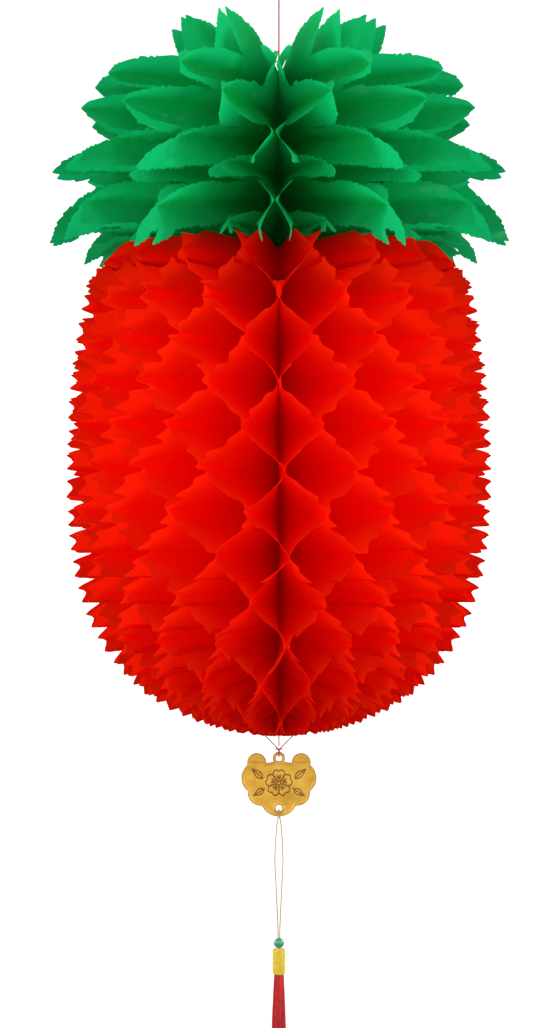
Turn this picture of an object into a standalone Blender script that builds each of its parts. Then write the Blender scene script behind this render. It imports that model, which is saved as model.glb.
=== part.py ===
# Paper pineapple lantern: a round fruit of red honeycomb paper, a crown of green honeycomb
# leaves, a hanging thread above, and a lock charm with a bead and a tassel below.
# Metres, +Z up. The lantern's axis is Z and its front faces -Y. The origin is the top of the
# hanging loop, where the lantern hangs.

import math

import bmesh
import bpy
from mathutils import Vector

# Paper and clearances
PAPER = 0.00015
GLUE_GAP = 0.0003
SEAT_GAP = 0.0003

# Hanging thread: a loop, an overhand knot with a short tail, and one strand to the crown
THREAD_DIAMETER = 0.0010
LOOP_HEIGHT = 0.0310
LOOP_WIDTH = 0.0110
TAIL_LENGTH = 0.0070
STRAND_LENGTH = 0.0542

# Crown: pairs of green sheets, each cut into seven leaves down its free edge
LEAF_PAIRS = 12
CROWN_HEIGHT = 0.0985
FIRST_LEAF_ROW = 0.0075
LEAF_ROW_STEP = 0.0171
CROWN_LIFT = 0.0012
CROWN_TURN = math.radians(-1.5)

# The front pair has lost the top of its first leaf
TORN_PAIR = 1
TORN_REACH = 0.0300
TORN_DROOP = -0.0060

# Each leaf: how far it reaches, how far its tip hangs under its glue row, the width of its
# blade, and the radius where the slit below it ends
LEAF_REACH = (0.0622, 0.1060, 0.1145, 0.1300, 0.1110, 0.1322, 0.1083)
LEAF_DROOP = (-0.0355, -0.0010, -0.0017, 0.0154, 0.0040, 0.0178, 0.0075)
LEAF_BLADE = (0.0150, 0.0155, 0.0170, 0.0175, 0.0070, 0.0190, 0.0060)
SLIT_RADIUS = (0.0502, 0.0570, 0.0570, 0.0695, 0.0627, 0.0520)

# Fruit: red sheets with a toothed edge, glued along level rows
SHEETS = 36
FRUIT_RADIUS = 0.1208
FRUIT_UPPER = 0.1229
FRUIT_LOWER = 0.1539
UPPER_BULGE = 0.2394
TOP_RADIUS = 0.0897
SHOULDER_RADIUS = 0.1032
SHOULDER_DROP = 0.0135
FIRST_ROW_DROP = 0.0346
ROW_STEP = 0.02325
ROWS = 10
TEETH_PER_TWO_ROWS = 3
TEETH_ABOVE_ROWS = 1
HALF_TEETH_BELOW_ROWS = 9
TOOTH_DEPTH = 0.0085
LAST_TOOTH_DEPTH = 0.0030
BOTTOM_FLATNESS = 2.8
BOTTOM_SQUARENESS = 2.2

# Pendant: threads under the fruit, the lock charm, the cord, the bead, the cap and the tassel
PENDANT_THREAD = 0.0008
PENDANT_SPREAD = 0.0077
PENDANT_KNOT_DROP = 0.0080
CHARM_DROP = 0.0279
CHARM_THICKNESS = 0.0024
TASSEL_CORD = 0.0007
CORD_DROP = 0.0740
CORD_SPREAD = 0.0023
BEAD_DIAMETER = 0.0059
CAP_LENGTH = 0.0145
CAP_DIAMETER = 0.0074
TASSEL_LENGTH = 0.0850
TASSEL_NECK = 0.0060
TASSEL_SKIRT = 0.0110
TASSEL_RIDGES = 8

# Charm outline, right half, from its centre: each point and how far the edge after it bulges
CHARM_RING_RADIUS = 0.0036
CHARM_RING_HOLE = 0.0018
CHARM_RING_HEIGHT = 0.0147
CHARM_LOWER_HOLE = 0.0019
CHARM_LOWER_HOLE_DEPTH = 0.0137
CHARM_EDGE = (
    (0.0072, 0.0120, 0.0062),
    (0.0180, 0.0108, 0.0036),
    (0.0177, -0.0040, 0.0028),
    (0.0097, -0.0123, 0.0062),
)
ARC_STEPS = 5

# Heights worked out from the sizes above
KNOT_Z = -LOOP_HEIGHT
CROWN_TOP = KNOT_Z - STRAND_LENGTH
CROWN_BOTTOM = CROWN_TOP - CROWN_HEIGHT
FRUIT_TOP = CROWN_BOTTOM - CROWN_LIFT
FRUIT_MIDDLE = FRUIT_TOP - FRUIT_UPPER
FRUIT_BOTTOM = FRUIT_MIDDLE - FRUIT_LOWER
PENDANT_KNOT_Z = FRUIT_BOTTOM - PENDANT_KNOT_DROP
CHARM_Z = FRUIT_BOTTOM - CHARM_DROP
LOWER_HOLE_Z = CHARM_Z - CHARM_LOWER_HOLE_DEPTH
BEAD_Z = LOWER_HOLE_Z - CORD_DROP - BEAD_DIAMETER / 2
CAP_TOP = BEAD_Z - BEAD_DIAMETER / 2 - SEAT_GAP
TASSEL_TOP = CAP_TOP - CAP_LENGTH - SEAT_GAP

RED_PAPER = ("red paper", (0.72, 0.03, 0.01), 0.75, 0.0)
GREEN_PAPER = ("green paper", (0.0, 0.28, 0.10), 0.75, 0.0)
RED_THREAD = ("red thread", (0.60, 0.03, 0.03), 0.85, 0.0)
GOLD = ("gilt metal", (0.75, 0.48, 0.10), 0.35, 1.0)
BEIGE_CORD = ("beige cord", (0.62, 0.46, 0.24), 0.85, 0.0)
GREEN_GLASS = ("green glass", (0.0, 0.25, 0.12), 0.15, 0.0)
YELLOW_SILK = ("yellow silk", (0.80, 0.62, 0.05), 0.6, 0.0)
RED_SILK = ("red silk", (0.65, 0.02, 0.02), 0.6, 0.0)


def clear_scene():
    for found in list(bpy.data.objects):
        bpy.data.objects.remove(found, do_unlink=True)


def make_collection():
    collection = bpy.data.collections.new("paper_pineapple_lantern")
    bpy.context.scene.collection.children.link(collection)
    return collection


def material(finish):
    name, colour, roughness, metallic = finish
    found = bpy.data.materials.get(name)
    if found:
        return found
    made = bpy.data.materials.new(name)
    made.use_nodes = True
    shader = made.node_tree.nodes["Principled BSDF"]
    shader.inputs["Base Color"].default_value = (*colour, 1.0)
    shader.inputs["Roughness"].default_value = roughness
    shader.inputs["Metallic"].default_value = metallic
    return made


def add_object(name, data, finish, collection):
    made = bpy.data.objects.new(name, data)
    data.materials.append(material(finish))
    collection.objects.link(made)
    return made


def spine_clearance_radius(sheet_count):
    """Smallest radius where all the sheets stand side by side with their glue gaps."""
    return 1.05 * sheet_count * (PAPER + GLUE_GAP) / math.tau


def fold_point(radius, height, share, plane_a, plane_b):
    """Place a point of a flat sheet between its two glue planes. Share 0 lies on plane A."""
    side = 1.0 if plane_b > plane_a else -1.0
    off = side * (PAPER + GLUE_GAP) / 2
    on_a = Vector((radius * math.sin(plane_a) + off * math.cos(plane_a),
                   -radius * math.cos(plane_a) + off * math.sin(plane_a), height))
    on_b = Vector((radius * math.sin(plane_b) - off * math.cos(plane_b),
                   -radius * math.cos(plane_b) - off * math.sin(plane_b), height))
    return on_a.lerp(on_b, share)


def flat_sheet(bm, spine, rim, folds):
    """A flat sheet in bm from (radius, height) points, split along its fold lines."""
    spine_verts = [bm.verts.new((r, 0.0, z)) for r, z in spine]
    rim_verts = [bm.verts.new((r, 0.0, z)) for r, z in rim]
    bm.faces.new(spine_verts + rim_verts[::-1])
    for spine_index, rim_index in folds:
        ends = (spine_verts[spine_index], rim_verts[rim_index])
        shared = set(ends[0].link_faces) & set(ends[1].link_faces)
        bmesh.utils.face_split(shared.pop(), *ends)
    return spine_verts, rim_verts


def fold_sheet(verts, shares, plane_a, plane_b):
    for vert, share in zip(verts, shares):
        vert.co = fold_point(vert.co.x, vert.co.z, share, plane_a, plane_b)


def paper_object(name, bm, finish, collection):
    bmesh.ops.recalc_face_normals(bm, faces=bm.faces)
    mesh = bpy.data.meshes.new(name)
    bm.to_mesh(mesh)
    bm.free()
    made = add_object(name, mesh, finish, collection)
    skin = made.modifiers.new("paper", "SOLIDIFY")
    skin.thickness = PAPER
    skin.offset = 0.0
    return made


# Fruit

def fruit_radius_at(height):
    """Radius of the fruit's round outline at a height below its shoulder."""
    from_middle = height - FRUIT_MIDDLE
    if from_middle >= 0.0:
        return FRUIT_RADIUS * math.sqrt(1.0 - (from_middle / UPPER_BULGE) ** 2)
    fall = min(1.0, -from_middle / FRUIT_LOWER)
    return FRUIT_RADIUS * (1.0 - fall ** BOTTOM_FLATNESS) ** (1.0 / BOTTOM_SQUARENESS)


def fruit_bottom_curve(start_height, end_radius, count):
    """Even steps along the rounded bottom, from a height down to the spine."""
    fine = 200
    heights = [start_height + (FRUIT_BOTTOM - start_height) * math.sin(i / fine * math.pi / 2)
               for i in range(fine + 1)]
    path = [Vector((fruit_radius_at(z), z)) for z in heights]
    path = [point for point in path if point.x > end_radius] + [Vector((end_radius, FRUIT_BOTTOM))]
    lengths = [0.0]
    for before, after in zip(path, path[1:]):
        lengths.append(lengths[-1] + (after - before).length)
    points = []
    for step in range(1, count + 1):
        wanted = lengths[-1] * step / count
        index = next(i for i in range(1, len(lengths)) if lengths[i] >= wanted - 1e-9)
        share = (wanted - lengths[index - 1]) / (lengths[index] - lengths[index - 1])
        points.append(path[index - 1].lerp(path[index], share))
    return points


def row_heights():
    first = FRUIT_TOP - FIRST_ROW_DROP
    return [first - ROW_STEP * row for row in range(ROWS)]


def fruit_rim():
    """Rim points from the flat top down to the spine, and where the glue rows meet the rim.

    Every second point is the root of a notch, cut in towards the axis. Between two glue rows
    the points are level steps; below the last row they are even steps along the curve."""
    rows = row_heights()
    half_teeth = TEETH_PER_TWO_ROWS
    heights = [FRUIT_TOP - SHOULDER_DROP]
    above = 2 * TEETH_ABOVE_ROWS
    heights += [heights[0] + (rows[0] - heights[0]) * i / above for i in range(1, above + 1)]
    row_index = [len(heights) - 1]
    for upper, lower in zip(rows, rows[1:]):
        heights += [upper + (lower - upper) * i / half_teeth for i in range(1, half_teeth + 1)]
        row_index.append(len(heights) - 1)
    edge = [Vector((fruit_radius_at(z), z)) for z in heights]
    edge[0].x = SHOULDER_RADIUS
    inner = spine_clearance_radius(SHEETS)
    edge += fruit_bottom_curve(rows[-1], inner, HALF_TEETH_BELOW_ROWS)
    last = len(edge) - 1
    for index in range(1, last, 2):
        depth = TOOTH_DEPTH
        if index > row_index[-1]:
            along = (index - row_index[-1]) / HALF_TEETH_BELOW_ROWS
            depth += (LAST_TOOTH_DEPTH - TOOTH_DEPTH) * along
        edge[index].x -= depth * (1.0 if index <= row_index[-1] else 0.5)
        edge[index].y += 0.0 if index <= row_index[-1] else depth * 0.9
    rim = [(TOP_RADIUS, FRUIT_TOP)] + [tuple(point) for point in edge[:-1]]
    return rim, [index + 1 for index in row_index]


def fruit_sheet_mesh():
    inner = spine_clearance_radius(SHEETS)
    rim, row_index = fruit_rim()
    rows = row_heights()
    spine = [(inner, FRUIT_TOP)] + [(inner, z) for z in rows] + [(inner, FRUIT_BOTTOM)]
    folds = [(number + 1, rim_index) for number, rim_index in enumerate(row_index)]
    spine_shares = [1.0] + [float(row % 2) for row in range(ROWS)] + [float(ROWS % 2)]
    rim_shares = []
    for index in range(len(rim)):
        if index <= row_index[0]:
            rim_shares.append(1.0 - max(0, index - 1) / (row_index[0] - 1))
        elif index >= row_index[-1]:
            along = (index - row_index[-1]) / (len(rim) - row_index[-1])
            last_share = float((ROWS - 1) % 2)
            rim_shares.append(last_share + (1.0 - 2.0 * last_share) * along)
        else:
            row = next(n for n in range(ROWS) if row_index[n + 1] >= index)
            along = (index - row_index[row]) / (row_index[row + 1] - row_index[row])
            rim_shares.append(row % 2 + (1.0 - 2.0 * (row % 2)) * along)
    return spine, rim, folds, spine_shares + rim_shares


def make_fruit(collection):
    spine, rim, folds, shares = fruit_sheet_mesh()
    step = math.tau / SHEETS
    for number in range(SHEETS):
        middle = (number - 0.5) * step
        towards_a = 0.5 if number % 2 == 0 else -0.5
        bm = bmesh.new()
        spine_verts, rim_verts = flat_sheet(bm, spine, rim, folds)
        bm.normal_update()
        bmesh.ops.triangulate(bm, faces=bm.faces)
        fold_sheet(spine_verts + rim_verts, shares,
                   middle + towards_a * step, middle - towards_a * step)
        paper_object(f"fruit_sheet_{number + 1:02d}", bm, RED_PAPER, collection)


# Crown

def leaf_rows():
    first = CROWN_TOP - FIRST_LEAF_ROW
    return [first - LEAF_ROW_STEP * row for row in range(len(LEAF_REACH) - 1)]


def crown_sheet(torn):
    """Spine and rim points of one green sheet, its folds, and each point's share."""
    inner = spine_clearance_radius(2 * LEAF_PAIRS)
    rows = leaf_rows()
    leaf_heights = [rows[0]] + rows
    spine = [(inner, CROWN_TOP)] + [(inner, z) for z in rows] + [(inner, CROWN_BOTTOM)]
    spine_shares = [0.0] + [float(row % 2) for row in range(len(rows))]
    spine_shares.append(spine_shares[-1])
    rim = []
    rim_shares = []
    folds = []
    for leaf, height in enumerate(leaf_heights):
        reach = LEAF_REACH[leaf]
        tip = height - LEAF_DROOP[leaf]
        blade = LEAF_BLADE[leaf]
        share = 0.0 if leaf == 0 else float((leaf - 1) % 2)
        if leaf == 0 and torn:
            rim += [(TORN_REACH * 0.5, height - TORN_DROOP), (TORN_REACH, height - TORN_DROOP)]
            rim_shares += [share] * 2
        elif leaf == 0:
            rim += [(reach * 0.55, tip - blade * 0.85), (reach, tip)]
            rim += [(reach * 0.93, tip - blade)]
            rim_shares += [share] * 3
        else:
            rim += [(reach * 0.80, height + blade * 0.5 - LEAF_DROOP[leaf] * 0.35), (reach, tip)]
            rim += [(reach * 0.80, height - blade * 0.5 - LEAF_DROOP[leaf] * 0.35)]
            rim_shares += [share] * 3
            folds.append((leaf, len(rim) - 1))
        if leaf < len(SLIT_RADIUS):
            below = leaf_heights[leaf + 1]
            slit = (height + below) / 2 if leaf else height + LEAF_BLADE[1] * 0.6
            rim.append((SLIT_RADIUS[leaf], slit))
            rim_shares.append(0.0 if leaf == 0 else 0.5)
    return spine, rim, folds, spine_shares + rim_shares


def make_crown(collection):
    step = math.pi / LEAF_PAIRS
    for number in range(LEAF_PAIRS):
        spine, rim, folds, shares = crown_sheet(number + 1 == TORN_PAIR)
        plane = CROWN_TURN + number * 2 * step
        bm = bmesh.new()
        left_spine, left_rim = flat_sheet(bm, spine, rim, folds)
        right_spine, right_rim = flat_sheet(bm, spine, rim, folds)
        bm.normal_update()
        bmesh.ops.triangulate(bm, faces=bm.faces)
        fold_sheet(left_spine + left_rim, shares, plane, plane - step)
        fold_sheet(right_spine + right_rim, shares, plane, plane + step)
        bound = [bm.edges.get((chain[i], chain[i + 1]))
                 for chain in (left_spine, right_spine) for i in range(len(chain) - 1)]
        bmesh.ops.bridge_loops(bm, edges=bound)
        paper_object(f"crown_leaf_pair_{number + 1:02d}", bm, GREEN_PAPER, collection)


def make_spine(name, top, bottom, sheet_count, finish, collection):
    """The bound spine that the inner edges of the sheets are stitched and glued to."""
    radius = spine_clearance_radius(sheet_count) - SEAT_GAP
    bm = bmesh.new()
    bmesh.ops.create_cone(bm, cap_ends=True, segments=8, radius1=radius, radius2=radius,
                          depth=top - bottom)
    mesh = bpy.data.meshes.new(name)
    bm.to_mesh(mesh)
    bm.free()
    made = add_object(name, mesh, finish, collection)
    made.location.z = (top + bottom) / 2


# Threads and cords

def smooth_route(points, per_span):
    """Points along a smooth curve through the route's own points, a few on each span."""
    ends = [points[0] * 2 - points[1]] + points + [points[-1] * 2 - points[-2]]
    smooth = []
    for i in range(len(points) - 1):
        a, b, c, d = ends[i:i + 4]
        for step in range(per_span):
            t = step / per_span
            smooth.append(0.5 * (2 * b + (c - a) * t + (2 * a - 5 * b + 4 * c - d) * t ** 2
                                 + (3 * b - a - 3 * c + d) * t ** 3))
    return smooth + [points[-1]]


def make_cord(name, route, diameter, per_span, finish, collection):
    curve = bpy.data.curves.new(name, "CURVE")
    curve.dimensions = "3D"
    curve.bevel_depth = diameter / 2
    curve.bevel_resolution = 2
    curve.use_fill_caps = True
    spline = curve.splines.new("POLY")
    points = smooth_route([Vector(point) for point in route], per_span)
    spline.points.add(len(points) - 1)
    for target, point in zip(spline.points, points):
        target.co = (*point, 1.0)
    add_object(name, curve, finish, collection)


def make_ring(name, middle, major, minor, finish, collection):
    bpy.ops.mesh.primitive_torus_add(major_radius=major, minor_radius=minor, major_segments=10,
                                     minor_segments=6, location=middle)
    made = bpy.context.object
    made.name = name
    made.data.materials.append(material(finish))
    for owner in list(made.users_collection):
        owner.objects.unlink(made)
    collection.objects.link(made)


def hanging_route():
    """Up from the crown, through the knot, round the loop and back to a short tail."""
    half = LOOP_WIDTH / 2
    beside = THREAD_DIAMETER + SEAT_GAP
    foot = CROWN_TOP + SEAT_GAP
    return [
        (0.0, 0.0, foot),
        (0.0, 0.0, foot + (KNOT_Z - foot) * 0.5),
        (0.0, 0.0, KNOT_Z - 0.10 * LOOP_HEIGHT),
        (0.0, 0.0, KNOT_Z),
        (-half * 0.35, 0.0, KNOT_Z * 0.83),
        (-half * 0.85, 0.0, KNOT_Z * 0.55),
        (-half, 0.0, KNOT_Z * 0.30),
        (-half * 0.72, 0.0, KNOT_Z * 0.08),
        (0.0, 0.0, 0.0),
        (half * 0.72, 0.0, KNOT_Z * 0.08),
        (half, 0.0, KNOT_Z * 0.30),
        (half * 0.90, 0.0, KNOT_Z * 0.55),
        (half * 0.35 + beside * 0.5, 0.0, KNOT_Z * 0.83),
        (beside, 0.0, KNOT_Z),
        (beside + 0.25 * TAIL_LENGTH, 0.0, KNOT_Z - 0.5 * TAIL_LENGTH),
        (beside + 0.60 * TAIL_LENGTH, 0.0, KNOT_Z - TAIL_LENGTH),
    ]


def knot_sizes(diameter):
    """Major and minor radius of a knot's turn that holds two strands side by side."""
    hole = diameter + SEAT_GAP * 1.5
    minor = diameter * 0.6
    return hole + minor, minor


def make_hanging_thread(collection):
    make_cord("hanging_thread", hanging_route(), THREAD_DIAMETER, 2, RED_THREAD, collection)
    major, minor = knot_sizes(THREAD_DIAMETER)
    middle = (THREAD_DIAMETER + SEAT_GAP) / 2
    make_ring("hanging_knot", (middle, 0.0, KNOT_Z), major, minor, RED_THREAD, collection)


def pendant_route():
    """Down from one side of the fruit, through the charm's ring and up to the other side."""
    ring_z = CHARM_Z + CHARM_RING_HEIGHT
    beside = (PENDANT_THREAD + SEAT_GAP) / 2
    front = CHARM_THICKNESS / 2 + SEAT_GAP + PENDANT_THREAD / 2
    ring_top = ring_z + CHARM_RING_RADIUS
    top = FRUIT_BOTTOM - SEAT_GAP - PENDANT_THREAD / 2
    seat = ring_z + CHARM_RING_HOLE - SEAT_GAP - PENDANT_THREAD / 2
    down = [
        (-PENDANT_SPREAD, 0.0, top),
        (-PENDANT_SPREAD * 0.55, 0.0, top + (PENDANT_KNOT_Z - top) * 0.45),
        (-beside, 0.0, PENDANT_KNOT_Z),
        (-beside * 0.8, -front * 0.95, ring_top + 0.1 * CHARM_RING_RADIUS),
        (-beside * 0.3, -front, (ring_top + seat) / 2),
        (0.0, -front * 0.55, seat),
    ]
    return down + [(-x, -y, z) for x, y, z in reversed(down)]


def make_pendant_threads(collection):
    make_cord("pendant_thread_outer", pendant_route(), PENDANT_THREAD, 2, RED_THREAD, collection)
    major, minor = knot_sizes(PENDANT_THREAD)
    make_ring("pendant_knot", (0.0, 0.0, PENDANT_KNOT_Z), major, minor, RED_THREAD, collection)
    top = FRUIT_BOTTOM - SEAT_GAP
    foot = PENDANT_KNOT_Z + minor + SEAT_GAP * 2 + PENDANT_THREAD / 2
    route = [(0.0, 0.0, top), (0.0, 0.0, (top + foot) / 2), (0.0, 0.0, foot)]
    make_cord("pendant_thread_middle", route, PENDANT_THREAD, 1, RED_THREAD, collection)


def arc_between(start, end, bulge):
    """Points along a round edge from start to end that bulges to its left, without the end."""
    start, end = Vector(start), Vector(end)
    chord = end - start
    half = chord.length / 2
    radius = (half ** 2 + bulge ** 2) / (2 * bulge)
    outward = Vector((chord.y, -chord.x)).normalized() * -1.0
    centre = (start + end) / 2 - outward * (radius - bulge)
    first = math.atan2(start.y - centre.y, start.x - centre.x)
    sweep = 4 * math.atan(bulge / half)
    return [centre + radius * Vector((math.cos(first - sweep * i / ARC_STEPS),
                                      math.sin(first - sweep * i / ARC_STEPS)))
            for i in range(ARC_STEPS)]


def charm_outline():
    """The charm's whole edge, clockwise from the top of its ring."""
    ring_centre = Vector((0.0, CHARM_RING_HEIGHT))
    meets = math.radians(-35)
    ring = [ring_centre + CHARM_RING_RADIUS * Vector((math.cos(angle), math.sin(angle)))
            for angle in (math.pi / 2 + (meets - math.pi / 2) * i / 4 for i in range(1, 5))]
    right = list(ring)
    corners = [(x, z) for x, z, bulge in CHARM_EDGE]
    mirrored_last = (-corners[-1][0], corners[-1][1])
    for index, (x, z, bulge) in enumerate(CHARM_EDGE):
        after = corners[index + 1] if index + 1 < len(corners) else mirrored_last
        right += arc_between((x, z), after, bulge)
    lowest = len(ring) + ARC_STEPS * (len(CHARM_EDGE) - 1)
    side = right[:lowest + 1]
    bottom = right[lowest + 1:]
    left = [Vector((-point.x, point.y)) for point in reversed(side)]
    return [ring_centre + Vector((0.0, CHARM_RING_RADIUS))] + side + bottom + left


def circle_points(centre, radius, count):
    return [Vector((centre[0] + radius * math.cos(math.tau * i / count),
                    centre[1] + radius * math.sin(math.tau * i / count))) for i in range(count)]


def make_charm(collection):
    curve = bpy.data.curves.new("charm", "CURVE")
    curve.dimensions = "2D"
    curve.fill_mode = "BOTH"
    curve.extrude = CHARM_THICKNESS / 2
    holes = [circle_points((0.0, CHARM_RING_HEIGHT), CHARM_RING_HOLE, 8),
             circle_points((0.0, -CHARM_LOWER_HOLE_DEPTH), CHARM_LOWER_HOLE, 8)]
    for outline in [charm_outline()] + holes:
        spline = curve.splines.new("POLY")
        spline.points.add(len(outline) - 1)
        for target, point in zip(spline.points, outline):
            target.co = (point.x, point.y, 0.0, 1.0)
        spline.use_cyclic_u = True
    made = add_object("charm", curve, GOLD, collection)
    made.rotation_euler.x = math.pi / 2
    made.location.z = CHARM_Z


def tassel_cord_route():
    """Up from the cap, through the bead and the charm's lower hole, and back down."""
    front = CHARM_THICKNESS / 2 + SEAT_GAP + TASSEL_CORD / 2
    beside = (TASSEL_CORD + SEAT_GAP) / 2
    foot = CAP_TOP + SEAT_GAP
    seat = LOWER_HOLE_Z - CHARM_LOWER_HOLE + SEAT_GAP + TASSEL_CORD / 2
    edge = CHARM_Z + CHARM_EDGE[-1][1] - CHARM_EDGE[-1][2]
    bead_top = BEAD_Z + BEAD_DIAMETER / 2
    drop = edge - bead_top
    up = [
        (-beside, 0.0, foot),
        (-beside, 0.0, bead_top),
        (-beside * 1.3, 0.0, bead_top + drop * 0.12),
        (-CORD_SPREAD * 0.75, 0.0, bead_top + drop * 0.45),
        (-CORD_SPREAD, 0.0, bead_top + drop * 0.66),
        (-CORD_SPREAD * 0.6, -front * 0.7, edge - drop * 0.10),
        (-beside * 0.9, -front * 1.1, edge - TASSEL_CORD),
        (-beside * 0.5, -front * 1.15, (edge + seat) / 2),
        (-beside * 0.1, -front * 0.85, seat + 0.5 * TASSEL_CORD),
    ]
    return up + [(-x, -y, z) for x, y, z in reversed(up)]


def turn_profile(name, profile, steps, finish, collection, close=False):
    """A turned piece from (radius, height) points, listed from the top down its outside."""
    bm = bmesh.new()
    verts = [bm.verts.new((r, 0.0, z)) for r, z in profile]
    for before, after in zip(verts, verts[1:]):
        bm.edges.new((before, after))
    if close:
        bm.edges.new((verts[-1], verts[0]))
    mesh = bpy.data.meshes.new(name)
    bm.to_mesh(mesh)
    bm.free()
    made = add_object(name, mesh, finish, collection)
    screw = made.modifiers.new("turn", "SCREW")
    screw.steps = steps
    screw.render_steps = steps
    screw.use_merge_vertices = True
    screw.merge_threshold = 0.00001
    return made


def make_bead(collection):
    """A round bead whose bore lets both strands of the cord through."""
    radius = BEAD_DIAMETER / 2
    bore = TASSEL_CORD + 1.5 * SEAT_GAP
    tilt = math.asin(bore / radius)
    arc = [math.pi / 2 - tilt - (math.pi - 2 * tilt) * i / 4 for i in range(5)]
    profile = [(radius * math.cos(a), radius * math.sin(a)) for a in arc]
    made = turn_profile("tassel_bead", profile, 10, GREEN_GLASS, collection, close=True)
    made.location.z = BEAD_Z


def make_cap(collection):
    """The wound cap that binds the tassel's neck."""
    radius = CAP_DIAMETER / 2
    profile = [(0.0, CAP_TOP), (radius * 0.78, CAP_TOP - 0.03 * CAP_LENGTH),
               (radius, CAP_TOP - 0.25 * CAP_LENGTH), (radius, CAP_TOP - 0.75 * CAP_LENGTH),
               (radius * 0.82, CAP_TOP - CAP_LENGTH), (0.0, CAP_TOP - CAP_LENGTH)]
    turn_profile("tassel_cap", profile, 10, YELLOW_SILK, collection)


def make_tassel(collection):
    """The skirt of threads, ridged where the threads lie in bunches."""
    bm = bmesh.new()
    rings = ((0.0, TASSEL_NECK), (0.3, (TASSEL_NECK + TASSEL_SKIRT) / 2), (1.0, TASSEL_SKIRT))
    loops = []
    for share, width in rings:
        verts = []
        for i in range(2 * TASSEL_RIDGES):
            angle = math.pi * i / TASSEL_RIDGES
            radius = width / 2 * (1.0 if i % 2 == 0 else 0.82)
            verts.append(bm.verts.new((radius * math.cos(angle), radius * math.sin(angle),
                                       TASSEL_TOP - TASSEL_LENGTH * share)))
        loops.append(verts)
    for upper, lower in zip(loops, loops[1:]):
        edges = [bm.edges.get((ring[i - 1], ring[i])) or bm.edges.new((ring[i - 1], ring[i]))
                 for ring in (upper, lower) for i in range(len(ring))]
        bmesh.ops.bridge_loops(bm, edges=edges)
    bm.faces.new(loops[0])
    bm.faces.new(loops[-1])
    bmesh.ops.recalc_face_normals(bm, faces=bm.faces)
    mesh = bpy.data.meshes.new("tassel")
    bm.to_mesh(mesh)
    bm.free()
    add_object("tassel", mesh, RED_SILK, collection)


def make_pendant(collection):
    make_pendant_threads(collection)
    make_charm(collection)
    make_cord("tassel_cord", tassel_cord_route(), TASSEL_CORD, 2, BEIGE_CORD, collection)
    make_bead(collection)
    make_cap(collection)
    make_tassel(collection)


def main():
    clear_scene()
    lantern = make_collection()
    make_hanging_thread(lantern)
    make_crown(lantern)
    make_spine("crown_spine", CROWN_TOP, CROWN_BOTTOM, 2 * LEAF_PAIRS, GREEN_PAPER, lantern)
    make_fruit(lantern)
    make_spine("fruit_spine", CROWN_BOTTOM - SEAT_GAP, FRUIT_BOTTOM, SHEETS, RED_PAPER, lantern)
    make_pendant(lantern)


main()
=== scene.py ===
# Paper pineapple lantern: the looks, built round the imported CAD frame.
# Metres, +Z up. The front of the lantern faces -Y, and the origin is the top of the hanging loop.
import math
import random

import bpy
import numpy as np
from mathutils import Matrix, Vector, geometry


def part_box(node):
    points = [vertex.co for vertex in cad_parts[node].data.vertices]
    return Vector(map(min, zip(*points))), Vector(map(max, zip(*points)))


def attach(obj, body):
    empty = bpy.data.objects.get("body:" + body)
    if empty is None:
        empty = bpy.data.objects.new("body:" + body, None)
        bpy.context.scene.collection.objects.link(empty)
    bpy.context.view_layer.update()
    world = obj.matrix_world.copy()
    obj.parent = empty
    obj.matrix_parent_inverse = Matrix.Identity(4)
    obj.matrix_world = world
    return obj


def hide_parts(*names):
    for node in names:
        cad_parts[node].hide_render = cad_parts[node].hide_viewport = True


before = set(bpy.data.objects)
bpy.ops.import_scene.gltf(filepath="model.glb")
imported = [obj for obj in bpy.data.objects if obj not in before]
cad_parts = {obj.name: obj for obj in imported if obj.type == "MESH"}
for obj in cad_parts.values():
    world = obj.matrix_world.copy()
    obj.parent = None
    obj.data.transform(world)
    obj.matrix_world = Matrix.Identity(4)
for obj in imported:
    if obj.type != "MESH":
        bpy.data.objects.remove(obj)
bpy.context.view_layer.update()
print("frame loaded:", len(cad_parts), "nodes")

cameraView = {
    "place": (-0.0011, -1.254, -0.3357),
    "lens": 77.04,
    "sensor": 36.0,  # along the tall side
}

cameraData = bpy.data.cameras.new("camera")
cameraData.lens = cameraView["lens"]
cameraData.sensor_width = cameraView["sensor"]
camera = bpy.data.objects.new("camera", cameraData)
camera.location = cameraView["place"]
camera.rotation_euler = (math.radians(90), 0, 0)
bpy.context.scene.collection.objects.link(camera)
bpy.context.scene.camera = camera
bpy.context.scene.view_settings.view_transform = "Standard"
# light goes through many layers of paper before it leaves the honeycomb
bpy.context.scene.cycles.max_bounces = 32
bpy.context.scene.cycles.diffuse_bounces = 24
bpy.context.scene.cycles.transmission_bounces = 24


def addPiece(name, verts, faces, material, smooth=True):
    mesh = bpy.data.meshes.new(name)
    mesh.from_pydata(np.asarray(verts, float).tolist(), [], faces)
    mesh.materials.append(material)
    mesh.polygons.foreach_set("use_smooth", [smooth] * len(mesh.polygons))
    mesh.update()
    piece = bpy.data.objects.new(name, mesh)
    bpy.context.scene.collection.objects.link(piece)
    return piece


def standIn(piece, node):
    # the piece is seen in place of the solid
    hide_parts(node)
    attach(piece, "root")


def gridFaces(rows, columns, start=0, closed=False):
    # quads between the rows of a grid of points; closed joins each row into a ring
    faces = []
    for i in range(rows - 1):
        for j in range(columns if closed else columns - 1):
            a = start + i * columns + j
            b = start + i * columns + (j + 1) % columns
            faces.append((a, b, b + columns, a + columns))
    return faces


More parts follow.
